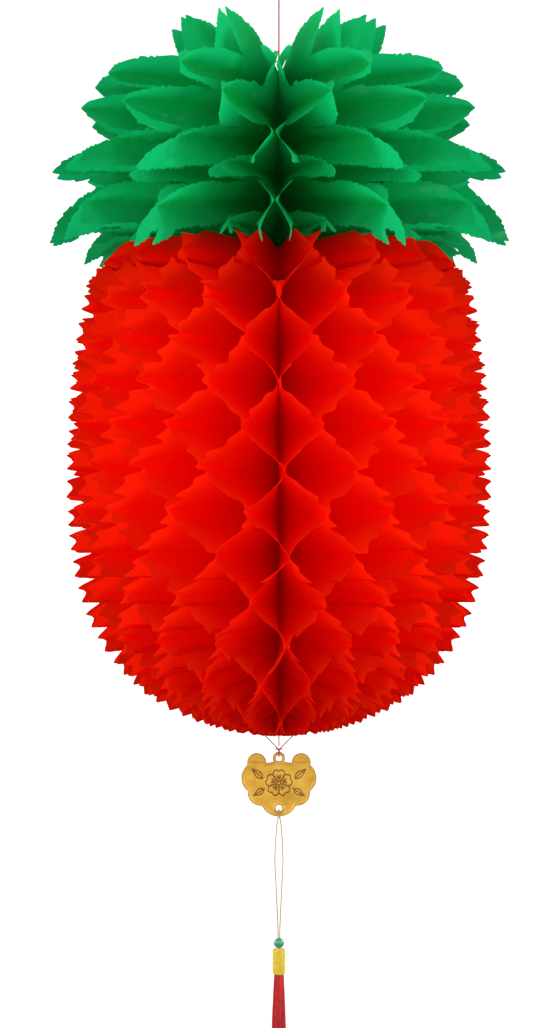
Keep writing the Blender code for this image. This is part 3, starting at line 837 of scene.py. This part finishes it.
makeBead()
makeCap()
makeTassel()


# The fruit: 36 red sheets, toothed down the free edge and glued to each other along level rows

fruit = {
    "sheets": 36,
    "top": -0.1849,
    "middle": -0.3078,
    "bottom": -0.4617,
    "radius": 0.1208,
    "upperBulge": 0.2394,
    "flatness": 2.8,
    "squareness": 2.2,
    "topRadius": 0.0897,
    "shoulderRadius": 0.1032,
    "shoulder": -0.1984,
    "shoulderTurn": (0.1070, 0.0034),  # radius, and how far below the shoulder
    "roundFrom": 0.0075,  # the round outline starts this far below the shoulder
    "inner": 0.00271,
    "spineGap": 0.001,
    "rowAbove": -0.19625,
    "rowStep": 0.02325,
    "glueWidth": 0.0030,
    "glueOffset": 0.000225,
    "firstTooth": 0.0143,
    "tooth": 0.0150,
    "lowTooth": 0.0166,
    "lowFrom": -0.395,  # below this the teeth are wider and the folds run to the spine's foot
    # radius on the outline and how deep the notches are there
    "toothDepths": [(0.012, 0.0042), (0.028, 0.0082), (0.048, 0.0102), (0.070, 0.0108)],
    "uncut": 0.02,  # stands for far from any tooth's point
    "softness": 0.22,  # how round the paper runs from one glue row to the next
    "curl": 0.00256,
    "curlReach": 0.011,
    "curlFrom": 0.86,
    "swell": 0.0022,
    "swellWaves": (95, 210),
    "unevenRows": 0.00015,
    "radialSteps": 12,
    "edgePoints": 900,
    "edgeSpacing": 0.0004,
}

# small unevenness of the whole fruit, the same for every sheet, so that no two cross
warp = {
    "driftDepths": [0.19, 0.22, 0.266, 0.3125, 0.359, 0.4055, 0.46],
    "drift": [0, 0.25, -0.2, 0.5, 4.0, 2.4, 0.5],  # degrees that the front seam wanders there
    "frontWidth": 0.5,
    "turns": (0.014, 0.010),
    # for each metre of radius, lifts the sheets about 55 degrees from the front and lowers those
    # about 55 degrees from the back, in place of a camera that stands a little lower
    "tilt": 0.062,
    "ripple": 0.0006,
    "spineFade": (0.01, 0.04),  # no lift up to this radius, and how far on the lift is whole
    "margin": 0.0005,
}

# one tooth: two points with a shallow notch between, and a deep notch at each end
toothShape = [(0.00, 1.00), (0.05, 0.96), (0.085, 0.84), (0.13, 0.58), (0.19, 0.28), (0.25, 0.06),
              (0.285, 0.00), (0.33, 0.07), (0.42, 0.26), (0.52, 0.35), (0.61, 0.27), (0.72, 0.10),
              (0.79, 0.01), (0.83, 0.00), (0.865, 0.12), (0.89, 0.42), (0.915, 0.74), (0.95, 0.94)]


def fruitRadius(height):
    away = height - fruit["middle"]
    if away >= 0:
        return fruit["radius"] * math.sqrt(1 - (away / fruit["upperBulge"]) ** 2)
    fall = min(1, away / (fruit["bottom"] - fruit["middle"]))
    return fruit["radius"] * (1 - fall ** fruit["flatness"]) ** (1 / fruit["squareness"])


def fruitEdge():
    # the round outline from the shoulder to the spine, in very small even steps
    start = fruit["shoulder"] - fruit["roundFrom"]
    turn = np.sin(np.linspace(0, math.pi / 2, fruit["edgePoints"]))
    heights = start + (fruit["bottom"] - start) * turn
    turnRadius, turnDrop = fruit["shoulderTurn"]
    last = fruit["inner"] + fruit["spineGap"]
    edge = [(fruit["shoulderRadius"], fruit["shoulder"]), (turnRadius, fruit["shoulder"] - turnDrop)]
    edge += [(fruitRadius(z), z) for z in heights]
    edge = [point for point in edge if point[0] > last]
    edge.append((last, fruit["bottom"]))
    return evenLine(np.array(edge), fruit["edgeSpacing"])


def fruitRim():
    # the toothed rim from top to bottom: each point, how deep in a notch it lies, and its tooth
    edge = fruitEdge()
    ahead = np.gradient(edge, axis=0)
    ahead /= np.linalg.norm(ahead, axis=1)[:, None]
    inward = np.stack([ahead[:, 1], -ahead[:, 0]], axis=1)
    length = lineLength(edge)
    spots = np.linspace(0, length, len(edge))
    chance = random.Random(5)
    rim, inset, tooth = [], [], []
    for share in np.linspace(0, 1, 9)[:-1]:  # the straight uncut shoulder
        rim.append((fruit["topRadius"] + (fruit["shoulderRadius"] - fruit["topRadius"]) * share,
                    fruit["top"] + (fruit["shoulder"] - fruit["top"]) * share))
        inset.append(fruit["uncut"])
        tooth.append(0)
    along = 0.0
    pitch = fruit["firstTooth"]
    number = 0
    while along + pitch < length - 0.004:
        here = np.interp(along, spots, edge[:, 0])
        depth = np.interp(here, *zip(*fruit["toothDepths"])) * chance.uniform(0.92, 1.08)
        if number == 0:
            depth *= 0.6
        slide = chance.uniform(-0.04, 0.04)
        for share, cut in toothShape:
            spot = along + (share + slide * math.sin(math.pi * share)) * pitch
            point = np.array([np.interp(spot, spots, edge[:, k]) for k in (0, 1)])
            across = np.array([np.interp(spot, spots, inward[:, k]) for k in (0, 1)])
            across /= np.linalg.norm(across)
            own = 0 if number == 0 and share == 0 else depth * cut
            rim.append(tuple(point + across * own))
            inset.append(own)
            tooth.append(number)
        along += pitch
        number += 1
        height = np.interp(along, spots, edge[:, 1])
        pitch = fruit["tooth"] if height > fruit["lowFrom"] else fruit["lowTooth"]
    for spot in np.linspace(along, length, 8):
        rim.append(tuple(np.interp(spot, spots, edge[:, k]) for k in (0, 1)))
        inset.append(fruit["uncut"])
        tooth.append(number)
    return np.array(rim), np.array(inset), np.array(tooth)


def flatFruitSheet():
    # radius and height of the sheet's points: one row from the spine to the rim for each rim point
    rim, inset, tooth = fruitRim()
    low = int(np.argmax(rim[:, 1] < fruit["lowFrom"]))
    spine = rim[:, 1].copy()
    share = np.linspace(0, 1, len(rim) - low)
    spine[low:] = spine[low] + (fruit["bottom"] - spine[low]) * share ** 1.15
    spine = np.minimum.accumulate(spine)
    steps = fruit["radialSteps"]
    out = 1 - (1 - np.arange(steps + 1) / steps) ** 1.35
    radius = fruit["inner"] + (rim[:, :1] - fruit["inner"]) * out[None, :]
    height = spine[:, None] + (rim[:, 1:] - spine[:, None]) * out[None, :]
    return radius, height, inset, tooth, out


def zigzag(height):
    # 0 on one glue plane and 1 on the other, flat where the sheets are glued
    place = (fruit["rowAbove"] - height) / fruit["rowStep"]
    across = np.abs((place + 1) % 2 - 1)  # 0 on the first row, 1 on the next
    flatShare = fruit["glueWidth"] / fruit["rowStep"] / 2
    share = np.clip((across - flatShare) / (1 - 2 * flatShare), 0, 1)
    return share - fruit["softness"] * np.sin(math.tau * share) / math.tau


def warpLantern(azimuth, height, radius):
    front = np.exp(-(((azimuth + math.pi) % math.tau - math.pi) / warp["frontWidth"]) ** 2)
    turn = np.radians(np.interp(-height, warp["driftDepths"], warp["drift"])) * front
    slow, quick = warp["turns"]
    turn = turn + slow * np.sin(2 * azimuth + 41 * height + 1.0)
    turn = turn + quick * np.sin(5 * azimuth - 63 * height)
    near = np.cos(azimuth)
    lift = warp["tilt"] * radius * (near - near ** 3)
    lift = lift + warp["ripple"] * np.sin(3 * azimuth + 2.0) * np.sin(26 * height + azimuth)
    return azimuth + turn, height + lift


def makeFruit():
    radius, height, inset, tooth, out = flatFruitSheet()
    faces = gridFaces(*radius.shape)
    share = 1 - zigzag(height)
    tip = np.clip(1 - inset[:, None] / fruit["curlReach"], 0, 1)
    tip = tip * np.clip((out[None, :] - fruit["curlFrom"]) / (1 - fruit["curlFrom"]), 0, 1) ** 2
    step = math.tau / fruit["sheets"]
    slow, quick = fruit["swellWaves"]
    fadeFrom, fadeWidth = warp["spineFade"]
    uneven = fruit["unevenRows"]
    chance = random.Random(11)
    for number in range(fruit["sheets"]):
        centre = (number - 0.5) * step
        towards = 0.5 if number % 2 == 0 else -0.5
        planeA = centre + towards * step
        planeB = centre - towards * step
        side = 1 if planeB > planeA else -1
        offset = side * fruit["glueOffset"] * (1 - 2 * share)
        azimuth = planeA + (planeB - planeA) * share
        # loose paper between the glue rows swells a little, and the teeth curl
        phase = chance.uniform(0, 6.28)
        swell = np.sin(height * slow + phase) * 0.6 + np.sin(height * quick + phase * 2) * 0.4
        swell = swell * fruit["swell"] * np.sin(math.pi * share) * (radius / fruit["radius"]) ** 2
        curls = np.array([chance.uniform(-1, 1) for _ in range(tooth.max() + 1)])
        curl = fruit["curl"] * curls[tooth][:, None] * tip
        azimuth = azimuth + (offset + swell + curl) / np.maximum(radius, 0.004)
        azimuth, lifted = warpLantern(azimuth, height + chance.uniform(-uneven, uneven), radius)
        lifted = height + (lifted - height) * np.clip((radius - fadeFrom) / fadeWidth, 0, 1)
        lifted = np.clip(lifted, fruit["bottom"] - warp["margin"], fruit["top"] + warp["margin"])
        verts = np.stack([radius * np.sin(azimuth), -radius * np.cos(azimuth), lifted], axis=-1)
        name = f"fruitSheet{number + 1:02d}"
        piece = addPiece(name, verts.reshape(-1, 3), faces, redPaper)
        standIn(piece, f"fruit_sheet_{number + 1:02d}")
    print("fruit:", fruit["sheets"], "sheets of", 2 * len(faces), "triangles")


makeFruit()


# The crown: 12 pairs of green sheets, each cut into seven leaves down its free edge

crown = {
    "pairs": 12,
    "turn": math.radians(-1.5),
    "inner": 0.00181,
    "top": -0.0852,
    "bottom": -0.1837,
    "firstRow": -0.0927,
    "rowStep": 0.0171,
    "glueOffset": 0.000225,
    "webSteps": 8,
    "firstSlit": 0.0035,  # the first slit's foot, above the row
    "bladeStep": 0.0011,
    "across": 7,
    "serration": 0.0015,
    "serrationPitch": 0.0078,
    "serrationFade": 0.006,
    "broadWave": 0.013,
    "jitterKnots": 9,
    "taper": 0.86,  # where along the blade the tip starts to close
    "tipPowers": (2.2, 0.62),
    "spread": 0.8,  # how far the web opens towards the next glue row
    "relax": 0.78,  # how far the free blade comes back to its own row
    "lean": 1.6,  # degrees, at the tip
    "droop": 0.0008,
    "sagFrom": 0.040,
    "sagAngles": (75, 40),  # degrees from the front or back without sag, and from there to full sag
}

# what is left of the front pair's torn uppermost leaf, measured like the shapes below
tornLeaf = {
    "upper": [(13.7, 11.0), (20.0, 12.5), (28.0, 9.5)],
    "lower": [(30.0, 5.0), (31.0, 6.0), (30.0, 8.5)],
}

# each leaf: the row that it is glued on, then its upper and lower edges from the slit to the tip,
# as radius and height over that row, in millimetres, and how far the front ones sag, in metres
leafShapes = [
    {"row": 0, "sag": 0.000,
     "upper": [(25.7, 19.7), (37.6, 26.6), (48.5, 31.1), (57.0, 33.6), (61.0, 34.6)],
     "lower": [(50.2, 9.5), (54.7, 13.5), (57.6, 19.7), (60.2, 27.1), (61.6, 32.5)]},
    {"row": 0, "sag": 0.0045,
     "upper": [(50.2, 9.5), (68.4, 11.4), (85.5, 10.4), (96.9, 6.9), (105.4, 2.4)],
     "lower": [(57.0, -8.5), (73.0, -7.2), (85.5, -5.6), (96.9, -3.8), (105.2, -1.0)]},
    {"row": 1, "sag": 0.0060,
     "upper": [(57.0, 8.6), (71.3, 9.2), (90.0, 7.2), (107.2, 4.6), (113.8, 1.8)],
     "lower": [(57.0, -12.8), (74.1, -12.8), (91.2, -11.4), (104.3, -7.6), (113.6, -1.4)]},
    {"row": 2, "sag": 0.0120,
     "upper": [(57.0, 4.3), (72.0, 5.6), (94.0, 3.6), (108.0, -0.6), (118.0, -4.6), (129.0, -14.4)],
     "lower": [(69.5, -12.8), (82.0, -15.4), (94.0, -16.4), (115.7, -17.7), (128.6, -17.6)]},
    {"row": 3, "sag": 0.0060,
     "upper": [(69.5, 4.3), (85.5, 3.2), (99.8, -0.4), (110.2, -4.6)],
     "lower": [(62.7, -7.1), (79.8, -8.4), (99.8, -8.4), (110.0, -7.4)]},
    {"row": 4, "sag": 0.0143,
     "upper": [(62.7, 10.0), (85.5, 10.2), (102.6, 8.3), (113.4, 4.4), (124.3, -4.6), (131.6, -18.8)],
     "lower": [(52.0, -9.3), (86.6, -12.2), (106.0, -13.2), (114.0, -15.4), (121.5, -19.6), (129.6, -22.2)]},
    {"row": 5, "sag": 0.0030,
     "upper": [(52.0, 7.8), (74.1, 5.4), (94.0, 2.8), (103.7, -1.9), (107.8, -6.4)],
     "lower": [(44.0, -5.2), (74.0, -3.0), (91.2, -3.4), (99.6, -6.4), (106.4, -8.8)]},
]


def serrated(line, outwards, seed):
    # small torn-looking steps along a leaf's edge, pointing to the tip
    ahead = np.gradient(line, axis=0)
    ahead /= np.linalg.norm(ahead, axis=1)[:, None]
    across = np.stack([-ahead[:, 1], ahead[:, 0]], axis=1) * outwards
    lengths = lengthsAlong(line)
    chance = np.random.default_rng(seed)
    knots = np.linspace(0, lengths[-1] + 1e-6, crown["jitterKnots"])
    jitter = np.interp(lengths, knots, chance.uniform(-0.5, 0.5, crown["jitterKnots"]))
    wave = ((lengths / crown["serrationPitch"] + jitter * 3) % 1.0) ** 0.8
    broad = np.sin(lengths / crown["broadWave"] + seed) * 0.7
    fade = np.clip(np.minimum(lengths, lengths[-1] - lengths) / crown["serrationFade"], 0, 1)
    return line + across * ((wave - 0.5 + broad) * crown["serration"] * fade)[:, None]


def bladeEdges(index, row, torn):
    # the leaf's upper and lower edge from the slit to the tip, and how far along each point is
    shape = tornLeaf if torn else leafShapes[index]
    upperLine = smoothLine(np.array(shape["upper"]) / 1000 + (0, row), 12)
    lowerLine = smoothLine(np.array(shape["lower"]) / 1000 + (0, row), 12)
    middling = (lineLength(upperLine) + lineLength(lowerLine)) / 2
    steps = max(8, int(round(middling / crown["bladeStep"])))
    upperLine = evenLine(upperLine, lineLength(upperLine) / steps)
    lowerLine = evenLine(lowerLine, lineLength(lowerLine) / steps)
    share = np.linspace(0, 1, len(upperLine))
    closing = np.clip((share - crown["taper"]) / (1 - crown["taper"]), 0, 1)
    inner, outer = crown["tipPowers"]
    close = (np.clip(1 - closing ** inner, 0, 1) ** outer)[:, None]
    upperLine = serrated(upperLine, 1, index * 2 + 1)
    lowerLine = serrated(lowerLine, -1, index * 2 + 2)
    centre = (upperLine + lowerLine) / 2
    half = (upperLine - lowerLine) / 2 * close
    return centre + half, centre - half, share


def webHeights(index, row):
    # where the leaf's web starts and ends on the spine
    if index == 0:
        return crown["top"], row + crown["firstSlit"]
    above = row + crown["firstSlit"]
    if index > 1:
        above = (row + crown["firstRow"] - crown["rowStep"] * leafShapes[index - 1]["row"]) / 2
    if index == len(leafShapes) - 1:
        return above, crown["bottom"]
    return above, row - crown["rowStep"] / 2


def flatLeaf(index, torn):
    # a grid of points from the spine to the leaf's tip, and how far along the free blade each is
    row = crown["firstRow"] - crown["rowStep"] * leafShapes[index]["row"]
    upperLine, lowerLine, share = bladeEdges(index, row, torn)
    topSpine, lowSpine = webHeights(index, row)
    web = np.linspace(0, 1, crown["webSteps"] + 1)[:-1, None]
    upperWeb = np.array([crown["inner"], topSpine]) * (1 - web) + upperLine[0] * web
    lowerWeb = np.array([crown["inner"], lowSpine]) * (1 - web) + lowerLine[0] * web
    upperAll = np.concatenate([upperWeb, upperLine])
    lowerAll = np.concatenate([lowerWeb, lowerLine])
    blade = np.concatenate([np.zeros(len(web)), share])
    across = np.linspace(0, 1, crown["across"])[None, :, None]
    grid = upperAll[:, None, :] * (1 - across) + lowerAll[:, None, :] * across
    return grid[..., 0], grid[..., 1], np.repeat(blade[:, None], crown["across"], axis=1), row


def sagShare(azimuth):
    # the leaves nearest the front and the back sag most
    away = abs((math.degrees(azimuth) + 90) % 180 - 90)
    none, fall = crown["sagAngles"]
    return min(1, max(0, (none - away) / fall))


def foldLeaf(index, grid, plane, side, chance):
    radius, height, blade, row = grid
    onA = leafShapes[index]["row"] % 2 == 0
    step = math.pi / crown["pairs"]
    fromRow = np.clip(np.abs(height - row) / crown["rowStep"], 0, crown["spread"])
    fromRow = fromRow * (1 - crown["relax"] * blade ** 0.7 * chance.uniform(0.75, 1.1))
    share = fromRow if onA else 1 - fromRow
    lean = math.radians(chance.uniform(-crown["lean"], crown["lean"])) * blade ** 2
    azimuth = plane + side * step * share
    offset = side * crown["glueOffset"] * (1 - 2 * share)
    azimuth = azimuth + offset / np.maximum(radius, 0.003) + lean
    sag = leafShapes[index]["sag"] * sagShare(plane if onA else plane + side * step)
    sag = sag * np.clip((radius - crown["sagFrom"]) / (radius.max() - crown["sagFrom"]), 0, 1)
    sag = sag + chance.uniform(-crown["droop"], crown["droop"]) * blade ** 2
    return np.stack([radius * np.sin(azimuth), -radius * np.cos(azimuth), height - sag], axis=-1)


def makeCrown():
    total = 0
    for number in range(crown["pairs"]):
        plane = crown["turn"] + number * math.tau / crown["pairs"]
        verts, faces = [], []
        count = 0
        for side in (-1, 1):
            for index in range(len(leafShapes)):
                # both sheets of a leaf share one seed, so that they sag together
                place = number if leafShapes[index]["row"] % 2 == 0 else number + (side > 0)
                chance = random.Random(100 * (place % crown["pairs"]) + index)
                grid = flatLeaf(index, index == 0 and number == 0)
                leaf = foldLeaf(index, grid, plane, side, chance)
                rows, columns = leaf.shape[:2]
                verts.append(leaf.reshape(-1, 3))
                faces += gridFaces(rows, columns, count)
                count += rows * columns
        name = f"crownLeafPair{number + 1:02d}"
        piece = addPiece(name, np.concatenate(verts), faces, greenPaper)
        total += len(faces) * 2
        standIn(piece, f"crown_leaf_pair_{number + 1:02d}")
    print("crown:", crown["pairs"], "pairs,", total, "triangles")


makeCrown()
for name, finish in (("crown_spine", greenPaper), ("fruit_spine", redPaper)):
    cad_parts[name].data.materials[0] = finish


# A plain pale studio, whose wall and floor stand clear of views from behind and below

studio = {
    "floor": -3.0,
    "wall": 3.7,
    "bend": 0.8,
    "bendSteps": 16,
    "near": -4.0,
    "top": 3.0,
    "width": 6.0,
    "airColour": (0.93, 0.96, 1.0, 1),
    "airStrength": 0.37,
}

# each light's name, where it stands, what it points at, its width and height, and its watts
studioLights = [
    ("leftSoftbox", (-1.4, -0.6, -0.15), (0, 0, -0.33), (0.9, 1.4), 9),
    ("rightSoftbox", (1.4, -0.6, -0.15), (0, 0, -0.33), (0.9, 1.4), 9),
    ("frontLeft", (-0.8, -1.8, 0.05), (0, 0, -0.33), (0.8, 1.2), 8.4),
    ("frontRight", (0.8, -1.8, 0.05), (0, 0, -0.33), (0.8, 1.2), 8.4),
    ("topSoftbox", (0, -0.7, 1.1), (0, 0, -0.3), (1.2, 1.0), 3),
    ("backdropLeft", (-1.8, 0.6, 0.6), (-0.6, 1.6, 0.0), (1.0, 1.6), 32),
    ("backdropRight", (1.8, 0.6, 0.6), (0.6, 1.6, 0.0), (1.0, 1.6), 32),
    # these two stand with their backs to the lantern and light the wall alone
    ("wallLeft", (-1.6, 1.4, -0.3), (-0.4, 3.7, -0.35), (1.0, 1.6), 36),
    ("wallRight", (1.6, 1.4, -0.3), (0.4, 3.7, -0.35), (1.0, 1.6), 36),
]


def makeSweep():
    made, nodes, links = newMaterial("studioPaper")
    cloud = noiseNode(nodes, links, placeNode(nodes), scale=0.8, detail=2.0)
    tint = rampNode(nodes, links, cloud, [(0.3, (0.86, 0.88, 0.91)), (0.7, (0.92, 0.92, 0.92))])
    endMaterial(nodes, links, principledNode(nodes, links, tint, None, {"Roughness": 0.9}))
    bend = studio["bend"]
    line = [(studio["near"], studio["floor"])]
    for i in range(studio["bendSteps"] + 1):
        angle = math.pi / 2 * i / studio["bendSteps"]
        line.append((studio["wall"] - bend + bend * math.sin(angle),
                     studio["floor"] + bend * (1 - math.cos(angle))))
    line.append((studio["wall"], studio["top"]))
    verts = [(x, y, z) for y, z in line for x in (-studio["width"], studio["width"])]
    sweep = addPiece("studioSweep", verts, gridFaces(len(line), 2), made)
    # the sweep is seen, but its glow doesn't come through the paper
    sweep.visible_diffuse = False
    sweep.visible_transmission = False


def addLight(name, place, target, size, watts):
    data = bpy.data.lights.new(name, "AREA")
    data.shape = "RECTANGLE"
    data.size, data.size_y = size
    data.energy = watts
    light = bpy.data.objects.new(name, data)
    light.location = place
    aim = Vector(target) - Vector(place)
    light.rotation_euler = aim.to_track_quat("-Z", "Y").to_euler()
    bpy.context.scene.collection.objects.link(light)


def makeStudio():
    makeSweep()
    for row in studioLights:
        addLight(*row)
    world = bpy.data.worlds.new("studioAir")
    world.use_nodes = True
    air = world.node_tree.nodes["Background"]
    air.inputs["Color"].default_value = studio["airColour"]
    air.inputs["Strength"].default_value = studio["airStrength"]
    bpy.context.scene.world = world
    print("studio:", len(studioLights), "lights")


makeStudio()
